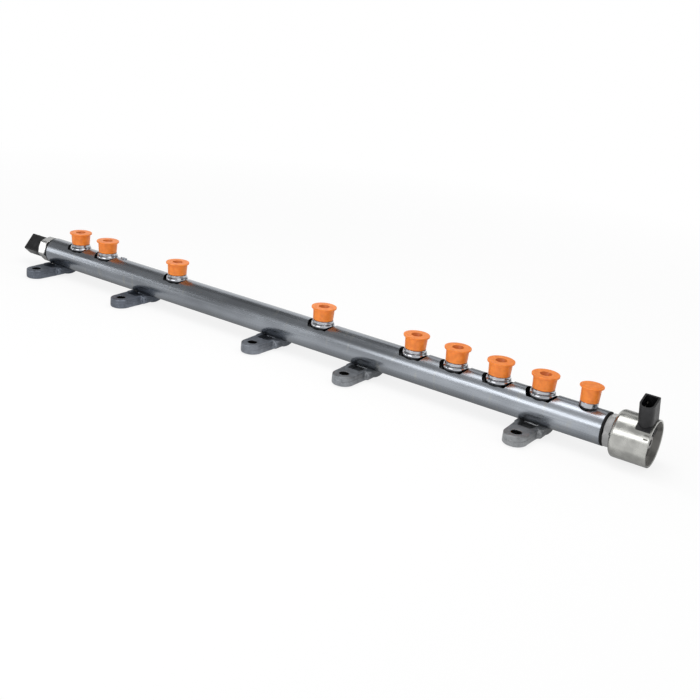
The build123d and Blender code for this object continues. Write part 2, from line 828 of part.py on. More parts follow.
def valve_connector():
    """Moulded connector: apron on the can, D-shaped tower, open socket and latch."""
    apron_length = apron_front + tower_back
    apron = Pos(0, (tower_back - apron_front) / 2, 0) * extrude(
        RectangleRounded(apron_width, apron_length, apron_corner), tower_top)
    apron = apron & bar(can_diameter + 2 * apron_height, 4 * tower_width)
    tower = extrude(tower_section(0), tower_top)
    socket = Pos(0, 0, tower_top - tower_socket_depth) * extrude(
        tower_section(-tower_wall), tower_socket_depth)
    wedge = Pos(0, 0, tower_top - latch_length - 1.5) * Rot(0, 0, 90) * latch(tower_back - 0.2)
    body = apron + tower + wedge - bar(2 * tower_bottom, 4 * tower_width) + tower_window(0) - socket
    for slot in tower_pin_bars(press_gap):
        body = body - slot
    return on_can(body)


def tower_pin_bars(grow):
    """The valve's two terminals as flat bars, each side grown by a clearance."""
    low = can_inner + seat_gap
    high = tower_top - tower_socket_depth + tower_pin_reach
    bars = []
    for side in (-1, 1):
        size = Rectangle(tower_pin_thickness + 2 * grow, tower_pin_width + 2 * grow)
        bars.append(Pos(tower_neck_offset, side * tower_pin_pitch / 2, low) * extrude(size, high - low))
    return bars


def fused(solids):
    """Several separate solids kept as one group."""
    return Compound(children=[solid for solid in solids])


port_solid = port()
port_cap_solid = port_cap()
pieces = {"rail_tube": rail_tube()}
for number, station in enumerate(port_stations, 1):
    pieces[f"port_{number}"] = upright(station, port_solid)
    pieces[f"port_cap_{number}"] = upright(station, port_cap_solid)
pieces["return_spigot"] = upright(spigot_station, return_spigot())
pieces["return_cap"] = upright(spigot_station, return_cap())
foot_solid = foot()
for number, station in enumerate(foot_stations, 1):
    pieces[f"foot_{number}"] = Pos(rail_left + station, 0, 0) * foot_solid

pieces["sensor_body"] = outward_left(sensor_body())
pieces["sensor_washer"] = outward_left(sensor_washer())
pieces["sensor_element"] = outward_left(sensor_element())
pieces["sensor_board"] = outward_left(sensor_board())
pieces["sensor_housing"] = outward_left(sensor_housing(), sensor_housing_clock)
pieces["sensor_pins"] = outward_left(fused(sensor_pin_bars(0)), sensor_housing_clock)

pieces["valve_body"] = outward(valve_body())
pieces["valve_washer"] = outward(valve_washer())
pieces["valve_o_ring"] = outward(valve_o_ring())
pieces["valve_seat"] = outward(valve_seat())
pieces["valve_ball"] = outward(valve_ball())
pieces["valve_pin"] = outward(valve_pin())
pieces["valve_armature"] = outward(valve_armature())
pieces["valve_spring"] = outward(valve_spring())
pieces["valve_sleeve"] = outward(valve_sleeve())
pieces["valve_core"] = outward(valve_core())
pieces["valve_bobbin"] = outward(valve_bobbin())
pieces["valve_winding"] = outward(valve_winding())
pieces["valve_yoke"] = outward(valve_yoke())
pieces["valve_cover"] = outward(valve_cover(), tower_clock)
pieces["valve_can"] = valve_can()
pieces["valve_connector"] = valve_connector()
pieces["valve_pins"] = on_can(fused(tower_pin_bars(0)))

for name, solid in pieces.items():
    export_step(solid, f"parts/{name}.step")
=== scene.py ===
import json
from math import cos, pi, radians, sin, tan
from types import SimpleNamespace

import bmesh
import bpy
from bpy.props import FloatProperty, FloatVectorProperty, IntProperty, PointerProperty
from mathutils import Euler, Matrix, Vector, noise


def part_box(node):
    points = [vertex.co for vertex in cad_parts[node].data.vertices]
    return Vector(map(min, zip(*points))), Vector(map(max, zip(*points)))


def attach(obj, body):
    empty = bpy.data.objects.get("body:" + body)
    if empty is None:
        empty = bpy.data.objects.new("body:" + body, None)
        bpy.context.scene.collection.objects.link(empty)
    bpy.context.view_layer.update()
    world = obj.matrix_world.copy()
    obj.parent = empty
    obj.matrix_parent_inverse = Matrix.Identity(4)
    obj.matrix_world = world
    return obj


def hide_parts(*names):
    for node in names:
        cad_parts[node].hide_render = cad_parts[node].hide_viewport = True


bl_info = {
    "name": "High-pressure fuel rail",
    "version": (1, 0, 0),
    "blender": (4, 5, 0),
    "location": "3D View > Sidebar > Fuel rail",
    "description": "Diesel fuel rail with capped unions, feet, a pressure sensor and a valve",
    "category": "Add Mesh",
}

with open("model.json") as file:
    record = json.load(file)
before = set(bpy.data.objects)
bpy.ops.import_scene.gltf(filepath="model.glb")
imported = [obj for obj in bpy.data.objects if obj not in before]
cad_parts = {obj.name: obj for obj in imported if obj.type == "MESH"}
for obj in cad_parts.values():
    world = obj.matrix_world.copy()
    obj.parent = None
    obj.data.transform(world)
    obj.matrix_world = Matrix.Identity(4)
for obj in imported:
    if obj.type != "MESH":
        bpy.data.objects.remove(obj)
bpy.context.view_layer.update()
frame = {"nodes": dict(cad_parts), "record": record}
nodes = frame["nodes"]
MM = 0.001
tube_low, tube_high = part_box("rail_tube")
# A point on the tube's axis
AXIS = Vector((0, (tube_low.y + tube_high.y) / 2, tube_low.z + (tube_high.y - tube_low.y) / 2))
# Where a piece made along Z stands to point away from the tube's left or right end
LEFT_END = Matrix.Translation((tube_low.x, AXIS.y, AXIS.z)) @ Matrix.Rotation(radians(-90), 4, "Y")
RIGHT_END = Matrix.Translation((tube_high.x, AXIS.y, AXIS.z)) @ Matrix.Rotation(radians(90), 4, "Y")
UNIONS = [f"port_{number}" for number in range(1, 9)]
CAPS = [f"port_cap_{number}" for number in range(1, 9)]
FEET = [f"foot_{number}" for number in range(1, 6)]

SAME_POINT = 0.001 * MM      # vertices closer than this are merged
SAME_PLANE = radians(0.3)    # facets flatter to each other than this are merged
CRISP_EDGE = radians(32)     # edges sharper than this stay crisp in the shading
SHARP_EDGE = radians(35)     # edges of a CAD node sharper than this are rounded
finishes = {}                # materials by name, filled by the first operator


def middle(node):
    """Place of a CAD node's middle along the rail, in metres."""
    low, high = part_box(node)
    return (low.x + high.x) / 2


def plus_alpha(colour):
    """A colour's three channels with full opacity."""
    return (*colour, 1.0)


def linear(text):
    """Linear colour from an sRGB hex value."""
    channels = [int(text[place:place + 2], 16) / 255 for place in (1, 3, 5)]
    return plus_alpha(
        c / 12.92 if c <= 0.04045 else ((c + 0.055) / 1.055) ** 2.4 for c in channels)


# Sizes and colours that a user would change

class RailSizes(bpy.types.PropertyGroup):
    tube_diameter: FloatProperty(
        name="Tube diameter", description="Outside diameter of the tube",
        default=tube_high.y - tube_low.y, unit="LENGTH")
    tube_length: FloatProperty(
        name="Tube length", description="Length of the tube without sensor and valve",
        default=tube_high.x - tube_low.x, unit="LENGTH")
    flat_diameter: FloatProperty(
        name="Flat diameter", description="Round flat milled under each union",
        default=23.6 * MM, unit="LENGTH")
    flat_height: FloatProperty(
        name="Flat height", description="Height of those flats above the tube's axis",
        default=8.4 * MM, unit="LENGTH")
    spigot_flat_diameter: FloatProperty(
        name="Spigot flat diameter", description="Round flat milled under the return spigot",
        default=15.0 * MM, unit="LENGTH")
    spigot_flat_height: FloatProperty(
        name="Spigot flat height", description="Height of that flat above the tube's axis",
        default=10.8 * MM, unit="LENGTH")
    cap_flange: FloatProperty(
        name="Cap flange", description="Diameter of a transit cap's flange",
        default=19.6 * MM, unit="LENGTH")
    cap_tilt: FloatProperty(
        name="Cap tilt", description="How far a cap may sit askew",
        default=radians(0.6), subtype="ANGLE")
    forging_softness: FloatProperty(
        name="Forging softness", description="Grid of the feet's forged skin",
        default=0.5 * MM, unit="LENGTH")
    can_diameter: FloatProperty(
        name="Can diameter", description="Outside diameter of the valve's can",
        default=33.0 * MM, unit="LENGTH")
    crimp_count: IntProperty(
        name="Crimps", description="Crimped notches in the can's rim beside the connector",
        default=4, min=1)
    around: IntProperty(
        name="Steps around", description="Faces around a turned piece", default=96, min=12)


class RailColours(bpy.types.PropertyGroup):
    def colour(name, description, value):
        return FloatVectorProperty(
            name=name, description=description, default=linear(value)[:3], size=3,
            subtype="COLOR")

    cap: colour("Cap", "Soft orange polyethylene", "#f78a27")
    steel: colour("Tube steel", "Drawn steel", "#a1a6ad")
    forging: colour("Forged steel", "Grey scale of the feet", "#828486")
    can: colour("Can", "Plated drawn steel", "#b6b6b2")
    plastic: colour("Connector", "Black polyamide", "#141416")
    floor: colour("Floor", "Pale studio floor", "#f8f8f8")


class StudioSettings(bpy.types.PropertyGroup):
    camera_place: FloatVectorProperty(
        name="Camera place", description="Where the camera stands",
        default=(0.46268, -0.58403, 0.27991), size=3, subtype="TRANSLATION")
    camera_turn: FloatVectorProperty(
        name="Camera turn", description="How the camera is turned",
        default=(radians(69.847), radians(-5.377), radians(34.437)), size=3, subtype="EULER")
    focal_length: FloatProperty(
        name="Focal length", description="Lens on a 36 mm sensor, in millimetres", default=51.73)
    softbox_level: FloatProperty(
        name="Softbox level", description="Brightness of each softbox's face", default=3.0)
    room_level: FloatProperty(
        name="Room level", description="Brightness of the soft light from all round", default=0.72)


def millimetres(group):
    """The lengths of a group of settings, in millimetres."""
    values = {}
    for key, prop in group.bl_rna.properties.items():
        if prop.type == "FLOAT" and prop.unit == "LENGTH":
            values[key] = getattr(group, key) / MM
    return SimpleNamespace(**values)


# Meshes

def soften(corners, closed=False, steps=4):
    """Points of a (reach, height, rounding) profile with its corners rounded by short arcs."""
    points = []
    for index, (reach, height, rounding) in enumerate(corners):
        here = Vector((reach, height))
        if not rounding or (not closed and index in (0, len(corners) - 1)):
            points.append(here)
            continue
        back = (Vector(corners[index - 1][:2]) - here).normalized()
        on = (Vector(corners[(index + 1) % len(corners)][:2]) - here).normalized()
        half = back.angle(on) / 2
        centre = here + (back + on).normalized() * rounding / sin(half)
        start = here + back * rounding / tan(half) - centre
        end = here + on * rounding / tan(half) - centre
        for step in range(steps + 1):
            points.append(centre + start.slerp(end, step / steps) * rounding)
    return points


def circle(steps):
    """Outline of a turned piece."""
    turns = [2 * pi * step / steps for step in range(steps)]
    return lambda reach: [(reach * cos(turn), reach * sin(turn)) for turn in turns]


def hexagon(flats, steps):
    """Outline of a hexagon bar, cut off by the circle that the profile gives."""
    def outline(reach):
        points = []
        for step in range(steps):
            turn = 2 * pi * step / steps
            side = turn % (pi / 3) - pi / 6
            far = min(reach, flats / 2 / cos(side))
            points.append((far * cos(turn), far * sin(turn)))
        return points
    return outline


def skin(mesh, outline, profile, closed):
    """Stacks an outline along a profile and covers it with faces."""
    rings = []
    for reach, height in profile:
        if reach < 1e-6:    # on the axis, where the outline shrinks to a point
            rings.append([mesh.verts.new((0, 0, height))])
        else:
            rings.append([mesh.verts.new((x, y, height)) for x, y in outline(reach)])
    pairs = list(zip(rings, rings[1:]))
    if closed:
        pairs.append((rings[-1], rings[0]))
    for low, high in pairs:
        count = max(len(low), len(high))
        if count == 1:
            continue
        for index in range(count):
            after = (index + 1) % count
            if len(low) == 1:
                mesh.faces.new((low[0], high[after], high[index]))
            elif len(high) == 1:
                mesh.faces.new((low[index], low[after], high[0]))
            else:
                mesh.faces.new((low[index], low[after], high[after], high[index]))
    if not closed:
        for ring in (rings[0], rings[-1]):
            if len(ring) > 1:
                mesh.faces.new(ring)


def solid(*shells):
    """A mesh in metres from (outline, profile, closed) shells in millimetres, faces outwards."""
    mesh = bmesh.new()
    for outline, profile, closed in shells:
        skin(mesh, outline, profile, closed)
    bmesh.ops.recalc_face_normals(mesh, faces=mesh.faces)
    bmesh.ops.scale(mesh, vec=(MM, MM, MM), verts=mesh.verts)
    return mesh


def thing(name, mesh, place=None):
    """An object at the origin from a bmesh, with its place put into the mesh."""
    data = bpy.data.meshes.new(name)
    mesh.to_mesh(data)
    mesh.free()
    if place is not None:
        data.transform(place)
    piece = bpy.data.objects.new(name, data)
    bpy.context.scene.collection.objects.link(piece)
    return piece


def turned(name, around, corners, place=None, steps=4):
    """An object turned around Z from the corners of its closed section, in millimetres."""
    return thing(name, solid((around, soften(corners, closed=True, steps=steps), True)), place)


def evaluated(piece):
    """Turns what a piece's modifiers make into its own plain mesh, and removes them."""
    depsgraph = bpy.context.evaluated_depsgraph_get()
    made = bpy.data.meshes.new_from_object(piece.evaluated_get(depsgraph), depsgraph=depsgraph)
    piece.modifiers.clear()
    spare = piece.data
    piece.data = made
    bpy.data.meshes.remove(spare)
    return piece


def shaded(piece):
    """Smooth shading with crisp edges, and flat faces that stay flat beside roundings."""
    piece.data.shade_smooth()
    piece.data.set_sharp_from_angle(angle=CRISP_EDGE)
    weighted = piece.modifiers.new("even shading", "WEIGHTED_NORMAL")
    weighted.keep_sharp = True
    return evaluated(piece)


def softened(node, name, width):
    """A copy of a CAD node with its facets merged and its edges rounded, width in millimetres."""
    mesh = bmesh.new()
    mesh.from_mesh(nodes[node].data)
    bmesh.ops.remove_doubles(mesh, verts=mesh.verts, dist=SAME_POINT)
    bmesh.ops.dissolve_limit(mesh, angle_limit=SAME_PLANE, verts=mesh.verts, edges=mesh.edges)
    piece = thing(name, mesh)
    piece.data.materials.clear()
    edges = piece.modifiers.new("rounded edges", "BEVEL")
    edges.width = width * MM
    edges.segments = 2
    edges.limit_method = "ANGLE"
    edges.angle_limit = SHARP_EDGE
    return shaded(evaluated(piece))


def refinish(piece, material, inside):
    """Gives a second finish to the faces whose middle is in a region, in millimetres."""
    piece.data.materials.append(material)
    for face in piece.data.polygons:
        if inside(face.center / MM):
            face.material_index = len(piece.data.materials) - 1


def in_bores(middles, reach, low, high):
    """A region, in millimetres: upright bores around some middles, between two heights."""
    return lambda spot: low < spot.z < high and min(
        (spot.xy - centre).length for centre in middles) < reach


def dress(piece, slot, body, *stands_for):
    """Gives a piece its slot's finish if it has none, puts it on its body and hides the CAD nodes
    it stands for.
    """
    if not piece.data.materials:
        piece.data.materials.append(finishes[slot])
    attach(piece, body)
    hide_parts(*stands_for)


# Geometry Nodes

def add(tree, kind, settings=None):
    """Adds a node. A setting is a property, a socket's value or the output that it is linked to."""
    node = tree.nodes.new(kind)
    for key, value in (settings or {}).items():
        if isinstance(value, bpy.types.NodeSocket):
            tree.links.new(value, node.inputs[key])
        elif isinstance(key, int) or key in node.inputs:
            node.inputs[key].default_value = value
        else:
            setattr(node, key, value)
    return node


def group(name, sockets):
    """An empty geometry tree with named inputs, and its input and output nodes."""
    tree = bpy.data.node_groups.new(name, "GeometryNodeTree")
    tree.interface.new_socket("Geometry", in_out="INPUT", socket_type="NodeSocketGeometry")
    for label, kind in sockets:
        tree.interface.new_socket(label, in_out="INPUT", socket_type=kind)
    tree.interface.new_socket("Geometry", in_out="OUTPUT", socket_type="NodeSocketGeometry")
    given = tree.nodes.new("NodeGroupInput").outputs
    return tree, given, tree.nodes.new("NodeGroupOutput").inputs


def grow(piece, tree, values):
    """Runs a geometry tree on a piece with the given inputs and keeps the result as its mesh."""
    modifier = piece.modifiers.new(tree.name, "NODES")
    modifier.node_group = tree
    for item in tree.interface.items_tree:
        if item.in_out == "INPUT" and item.name in values:
            modifier[item.identifier] = values[item.name]
    slots = evaluated(piece).data.materials
    for index in reversed(range(len(slots))):
        if slots[index] is None:
            slots.pop(index=index)


def copies(tree, settings):
    """Copies of a piece on points, made into real faces."""
    placed = add(tree, "GeometryNodeInstanceOnPoints", settings).outputs[0]
    return add(tree, "GeometryNodeRealizeInstances", {0: placed}).outputs[0]


def finished(tree, geometry, given, result):
    """The tree, ended by giving the geometry its material and handing it out."""
    made = add(tree, "GeometryNodeSetMaterial", {
        "Geometry": geometry, "Material": given["Material"]}).outputs[0]
    tree.links.new(made, result[0])
    return tree


def row_tree():
    """Tree that stands copies of a piece on the points it is given, each a little askew."""
    tree, given, result = group("Row of pieces", [
        ("Piece", "NodeSocketObject"), ("Tilt", "NodeSocketFloat"), ("Turn", "NodeSocketFloat"),
        ("Seed", "NodeSocketInt"), ("Material", "NodeSocketMaterial")])
    limits = {"X": given["Tilt"], "Y": given["Tilt"], "Z": given["Turn"]}
    most = add(tree, "ShaderNodeCombineXYZ", limits).outputs[0]
    least = add(tree, "ShaderNodeCombineXYZ", {
        axis: add(tree, "ShaderNodeMath", {"operation": "MULTIPLY", 0: limit, 1: -1.0}).outputs[0]
        for axis, limit in limits.items()}).outputs[0]
    askew = add(tree, "FunctionNodeRandomValue", {
        "data_type": "FLOAT_VECTOR", "Min": least, "Max": most,
        "Seed": given["Seed"]}).outputs["Value"]
    piece = add(tree, "GeometryNodeObjectInfo", {"Object": given["Piece"]}).outputs["Geometry"]
    row = copies(tree, {"Points": given["Geometry"], "Instance": piece, "Rotation": askew})
    return finished(tree, row, given, result)


def notch_tree():
    """Tree that presses a punch into a piece at even angles around its Z axis."""
    tree, given, result = group("Pressed notches", [
        ("Punch", "NodeSocketObject"), ("Count", "NodeSocketInt"),
        ("First angle", "NodeSocketFloat"), ("Step angle", "NodeSocketFloat"),
        ("Material", "NodeSocketMaterial")])
    points = add(tree, "GeometryNodePoints", {"Count": given["Count"]}).outputs[0]
    index = add(tree, "GeometryNodeInputIndex").outputs[0]
    turn = add(tree, "ShaderNodeMath", {
        "operation": "MULTIPLY_ADD", 0: index, 1: given["Step angle"],
        2: given["First angle"]}).outputs[0]
    rotation = add(tree, "ShaderNodeCombineXYZ", {"Z": turn}).outputs[0]
    punch = add(tree, "GeometryNodeObjectInfo", {"Object": given["Punch"]}).outputs["Geometry"]
    fan = copies(tree, {"Points": points, "Instance": punch, "Rotation": rotation})
    pressed = add(tree, "GeometryNodeMeshBoolean", {
        "operation": "DIFFERENCE", "solver": "EXACT",
        "Mesh 1": given["Geometry"], "Mesh 2": fan}).outputs[0]
    return finished(tree, pressed, given, result)


def milling_tree():
    """Tree that adds a pad to the tube and mills a round flat at each point, wide as its reach."""
    tree, given, result = group("Milled tube", [
        ("Stations", "NodeSocketObject"), ("Pad", "NodeSocketObject"),
        ("Material", "NodeSocketMaterial")])
    stations, pad = (
        add(tree, "GeometryNodeObjectInfo", {"Object": given[label]}).outputs["Geometry"]
        for label in ("Stations", "Pad"))
    tall = 20 * MM    # the mill stands out above the tube
    reach = add(tree, "GeometryNodeInputNamedAttribute", {
        "data_type": "FLOAT", "Name": "reach"}).outputs[0]
    size = add(tree, "ShaderNodeCombineXYZ", {"X": reach, "Y": reach, "Z": 1.0}).outputs[0]
    mill = add(tree, "GeometryNodeMeshCylinder", {
        "Vertices": 96, "Radius": 1.0, "Depth": tall}).outputs[0]
    raised = add(tree, "GeometryNodeTransform", {
        "Translation": (0, 0, tall / 2), "Geometry": mill}).outputs[0]
    mills = copies(tree, {"Points": stations, "Instance": raised, "Scale": size})
    joined = add(tree, "GeometryNodeMeshBoolean", {"operation": "UNION"})
    tree.links.new(given["Geometry"], joined.inputs["Mesh 2"])
    tree.links.new(pad, joined.inputs["Mesh 2"])
    milled = add(tree, "GeometryNodeMeshBoolean", {
        "operation": "DIFFERENCE", "Mesh 1": joined.outputs[0], "Mesh 2": mills}).outputs[0]
    return finished(tree, milled, given, result)


def points_at(name, places, reaches=None):
    """An object of loose points, for a tree to set pieces on."""
    data = bpy.data.meshes.new(name)
    data.from_pydata(places, [], [])
    if reaches:
        layer = data.attributes.new("reach", "FLOAT", "POINT")
        layer.data.foreach_set("value", reaches)
    piece = bpy.data.objects.new(name, data)
    bpy.context.scene.collection.objects.link(piece)
    return piece


# Materials

def toned(colour, *shares):
    """A colour with its channels times one share, or each times its own."""
    shares = shares * 3 if len(shares) == 1 else shares
    return plus_alpha(share * channel for share, channel in zip(shares, colour))


def finish(name, colour, metal, rough):
    """A material with its shader, and the object coordinates that its patterns read."""
    material = bpy.data.materials.new(name)
    material.use_nodes = True
    tree = material.node_tree
    shader = tree.nodes["Principled BSDF"]
    shader.inputs["Base Color"].default_value = colour
    shader.inputs["Metallic"].default_value = metal
    shader.inputs["Roughness"].default_value = rough
    place = add(tree, "ShaderNodeTexCoord").outputs["Object"]
    return material, tree, shader, place


def grain(tree, place, size, detail=2.0, stretch=(1, 1, 1), rough=0.5):
    """Noise whose blotches are about size millimetres across, stretched along an axis."""
    scaled = add(tree, "ShaderNodeMapping", {"Scale": stretch, "Vector": place}).outputs[0]
    return add(tree, "ShaderNodeTexNoise", {
        "Scale": 1 / (size * MM), "Detail": detail, "Roughness": rough,
        "Vector": scaled}).outputs["Fac"]


def mottle(tree, pattern, first, second, low=0.0, high=1.0, share=1.0):
    """A colour that turns into a second one, or a share of it, as a pattern runs low to high."""
    factor = add(tree, "ShaderNodeMapRange", {
        "From Min": low, "From Max": high, "To Max": share, "Value": pattern}).outputs[0]
    return add(tree, "ShaderNodeMix", {
        "data_type": "RGBA", 0: factor, 6: first, 7: second}).outputs[2]


def coat(tree, shader, tone, rough=None, relief=None):
    """Gives a shader its colour, and a roughness and a relief that follow patterns.

    rough is a pattern, the part of it that counts, and the roughness at both ends of that part.
    relief is a pattern and its depth in millimetres.
    """
    tree.links.new(tone, shader.inputs["Base Color"])
    if rough:
        pattern, low, high, smoothest, roughest = rough
        worn = add(tree, "ShaderNodeMapRange", {
            "From Min": low, "From Max": high, "To Min": smoothest, "To Max": roughest,
            "Value": pattern})
        tree.links.new(worn.outputs[0], shader.inputs["Roughness"])
    if relief:
        height, depth = relief
        bump = add(tree, "ShaderNodeBump", {
            "Strength": 1.0, "Distance": depth * MM, "Height": height})
        tree.links.new(bump.outputs[0], shader.inputs["Normal"])


def drawn_steel(name, colour):
    """Cold-drawn precision steel tube: satin, with fine draw lines and faint grey clouds."""
    material, tree, shader, place = finish(name, colour, 1.0, 0.3)
    lines = grain(tree, place, 0.55, 3.0, (0.012, 1, 1))      # draw lines, drawn coarser than real
    clouds = grain(tree, place, 26, 3.0, (0.35, 1, 1), 0.6)   # clouds from pickling
    marks = grain(tree, place, 5, 2.0, (1, 0.25, 0.25))       # faint rings from straightening rolls
    dark = toned(colour, 0.72)
    warm = toned(colour, 1.10, 1.04, 0.90)
    tone = mottle(tree, clouds, dark, colour, 0.38, 0.62)
    tone = mottle(tree, marks, tone, warm, 0.60, 0.75, 0.7)
    tone = mottle(tree, lines, tone, dark, 0.35, 0.65, 0.35)
    both = add(tree, "ShaderNodeMath", {"operation": "ADD", 0: lines, 1: clouds}).outputs[0]
    coat(tree, shader, tone, (both, 0.8, 1.25, 0.20, 0.33), (lines, 0.012))
    return material


def painted_shade_steel(name, dark, pale):
    """Dark satin steel with a random mottle: painted shade on milled flats, their walls and bolt
    holes.
    """
    material, tree, shader, place = finish(name, dark, 0.9, 0.3)
    speckle = grain(tree, place, 1.2, 3.0)
    tone = mottle(tree, speckle, dark, pale, 0.35, 0.65)
    coat(tree, shader, tone, (speckle, 0.3, 0.7, 0.22, 0.42))
    return material


def turned_steel(name, colour, rough, ring=0.35, depth=0.004):
    """Turned and plated steel: bright, with fine tool marks and slight clouding."""
    material, tree, shader, place = finish(name, colour, 1.0, rough)
    marks = grain(tree, place, ring, 2.0)    # tool marks, drawn coarser than real
    clouds = grain(tree, place, 6, 2.0)
    tone = mottle(tree, clouds, toned(colour, 0.78), colour, 0.35, 0.65)
    coat(tree, shader, tone, (clouds, 0.3, 0.7, rough * 0.75, rough * 1.35), (marks, depth))
    return material


def forged_scale(name, colour):
    """Shot-blasted forging: matt grey and sandy, with a trim line, and painted shade that makes it
    darker and bluer towards the left.
    """
    material, tree, shader, place = finish(name, colour, 0.85, 0.5)
    spot = add(tree, "ShaderNodeSeparateXYZ", {0: place}).outputs
    sand = grain(tree, place, 0.7, 3.0)    # blasting dimples, drawn coarser than real
    patches = grain(tree, place, 5, 3.0, (1, 1, 1), 0.6)
    tone = mottle(tree, patches, toned(colour, 0.70), colour, 0.35, 0.65)
    tone = mottle(tree, sand, tone, toned(colour, 1.5), 0.50, 0.72, 0.55)
    # Painted shade: darker and bluer towards the left of the rail
    bluish, plain = (0.86, 0.93, 1.08, 1.0), (1.0, 1.0, 1.0, 1.0)
    tint = mottle(tree, spot["X"], bluish, plain, -0.10, 0.15)
    brightness = add(tree, "ShaderNodeMapRange", {
        "From Min": -0.27, "From Max": 0.10, "To Min": 0.84, "To Max": 1.20,
        "Value": spot["X"]}).outputs[0]
    scale = add(tree, "ShaderNodeVectorMath", {
        "operation": "SCALE", 0: tint, "Scale": brightness}).outputs[0]
    tinted = add(tree, "ShaderNodeVectorMath", {
        "operation": "MULTIPLY", 0: tone, 1: scale}).outputs[0]
    trim_height, trim_width, trim_relief = 4.3 * MM, 0.45 * MM, 3.5
    above = add(tree, "ShaderNodeMath", {
        "operation": "SUBTRACT", 0: spot["Z"], 1: trim_height}).outputs[0]
    off = add(tree, "ShaderNodeMath", {"operation": "ABSOLUTE", 0: above}).outputs[0]
    trim = add(tree, "ShaderNodeMapRange", {
        "From Min": 0.0, "From Max": trim_width, "To Min": trim_relief, "To Max": 0.0,
        "Value": off}).outputs[0]
    height = add(tree, "ShaderNodeMath", {"operation": "ADD", 0: trim, 1: sand}).outputs[0]
    coat(tree, shader, tinted, (sand, 0.3, 0.7, 0.36, 0.58), (height, 0.07))
    return material


def soft_cap(name, colour):
    """Soft polyethylene transit cap: waxy, slightly see-through, moulded with a faint grain."""
    material, tree, shader, place = finish(name, colour, 0.0, 0.42)
    shader.inputs["Subsurface Weight"].default_value = 0.10
    shader.inputs["Subsurface Radius"].default_value = (1.0, 0.35, 0.12)
    shader.inputs["Subsurface Scale"].default_value = 1.2 * MM
    wax = grain(tree, place, 3.5, 2.0)
    fine = grain(tree, place, 0.5, 2.0)    # the mould's grain, drawn coarser than real
    deep = toned(colour, 0.86, 0.78, 0.7)
    tone = mottle(tree, wax, deep, colour, 0.35, 0.65)
    coat(tree, shader, tone, (fine, 0.3, 0.7, 0.36, 0.5), (fine, 0.01))
    return material


def moulded_black(name, colour, rough=0.42):
    """Glass-filled polyamide: black, satin, with the fine grain of a spark-eroded mould."""
    material, tree, shader, place = finish(name, colour, 0.0, rough)
    shader.inputs["Specular IOR Level"].default_value = 0.34
    eroded = grain(tree, place, 0.6, 2.0)    # the mould's grain, drawn coarser than real
    dust = grain(tree, place, 8, 3.0)
    pale = plus_alpha(min(1.0, 2.6 * c + 0.004) for c in colour[:3])
    tone = mottle(tree, dust, colour, pale, 0.45, 0.75)
    coat(tree, shader, tone, (eroded, 0.3, 0.7, rough * 0.85, rough * 1.25), (eroded, 0.02))
    return material


def black_rubber(name):
    """Rubber-coated sealing washer: dull black with a dry bloom."""
    material, tree, shader, place = finish(name, linear("#0b0b0c"), 0.0, 0.6)
    shader.inputs["Specular IOR Level"].default_value = 0.2
    bloom = grain(tree, place, 2.0, 3.0)
    tone = mottle(tree, bloom, linear("#060607"), linear("#141415"))
    coat(tree, shader, tone, relief=(bloom, 0.02))
    return material


def enamelled_copper(name):
    """Enamelled copper wire in even turns, each drawn coarser than real."""
    material, tree, shader, place = finish(name, linear("#a4562c"), 1.0, 0.3)
    turn = 5.024 * MM    # the wave repeats about three times over this length
    turns = add(tree, "ShaderNodeTexWave", {
        "bands_direction": "X", "Scale": 1 / turn, "Distortion": 0.3,
        "Vector": place}).outputs["Fac"]
    tone = mottle(tree, turns, linear("#6b3216"), linear("#b7653a"))
    coat(tree, shader, tone, relief=(turns, 0.1))
    return material


def circuit_board(name):
    """Green solder mask over a glass-fibre weave."""
    material, tree, shader, place = finish(name, linear("#1f5a33"), 0.0, 0.35)
    weave = grain(tree, place, 0.8, 1.0)    # the cloth's threads, drawn coarser than real
    tone = mottle(tree, weave, linear("#17472a"), linear("#2b6d40"))
    coat(tree, shader, tone, relief=(weave, 0.01))
    return material


def make_finishes(colours):
    """Every finish of the rail: those of the record's slots, and second finishes of some pieces."""
    return {
        "tube_steel": drawn_steel("drawn_tube_steel", plus_alpha(colours.steel)),
        # Painted shade and reflection: the milled flats and their walls are darkened
        "seat": painted_shade_steel("painted_shade_on_milled_flat", linear("#202225"), linear("#4a4d52")),
        "seat_wall": painted_shade_steel("painted_shade_on_milled_wall", linear("#08090a"), linear("#2a2b2d")),
        "port_steel": turned_steel("plated_union_steel", linear("#b9bbc0"), 0.11),
        "forged_steel": forged_scale("shot_blasted_forging", plus_alpha(colours.forging)),
        "cap_plastic": soft_cap("orange_polyethylene", plus_alpha(colours.cap)),
        # Painted shade in the caps' hollows
        "cap_hollow": soft_cap("painted_shade_orange_polyethylene", linear("#cf6a06")),
        # Painted shade in the feet's bolt holes
        "bolt_hole": painted_shade_steel("painted_shade_in_bolt_hole", linear("#0c0c0d"), linear("#262729")),
        "sensor_steel": turned_steel("turned_stainless", linear("#c2c2c1"), 0.18),
        "valve_steel": turned_steel("turned_valve_steel", linear("#c3c3c3"), 0.26),
        "can_steel": turned_steel("plated_drawn_can", plus_alpha(colours.can), 0.23, 0.5, 0.01),
        "can_inside": turned_steel("dull_zinc_inside", linear("#b4b3b0"), 0.62),
        "ball_steel": turned_steel("polished_bearing_steel", linear("#d6d6d8"), 0.06),
        "spring_steel": turned_steel("drawn_spring_wire", linear("#a8a8aa"), 0.25),
        "iron": turned_steel("soft_magnetic_iron", linear("#9c9b98"), 0.35),
        "copper": enamelled_copper("enamelled_copper_wire"),
        # Painted shade: the terminals deep in the socket are darkened
        "terminal": turned_steel("painted_shade_tin_plate", linear("#3c3a36"), 0.5),
        "connector_plastic": moulded_black(
            "black_glass_filled_polyamide", plus_alpha(colours.plastic)),
        "bobbin_plastic": moulded_black("black_bobbin_polyamide", linear("#1c1c1d"), 0.5),
        "board": circuit_board("green_circuit_board"),
        "black_rubber": black_rubber("coated_sealing_rubber"),
    }


# Operators: one for each piece or group of like pieces

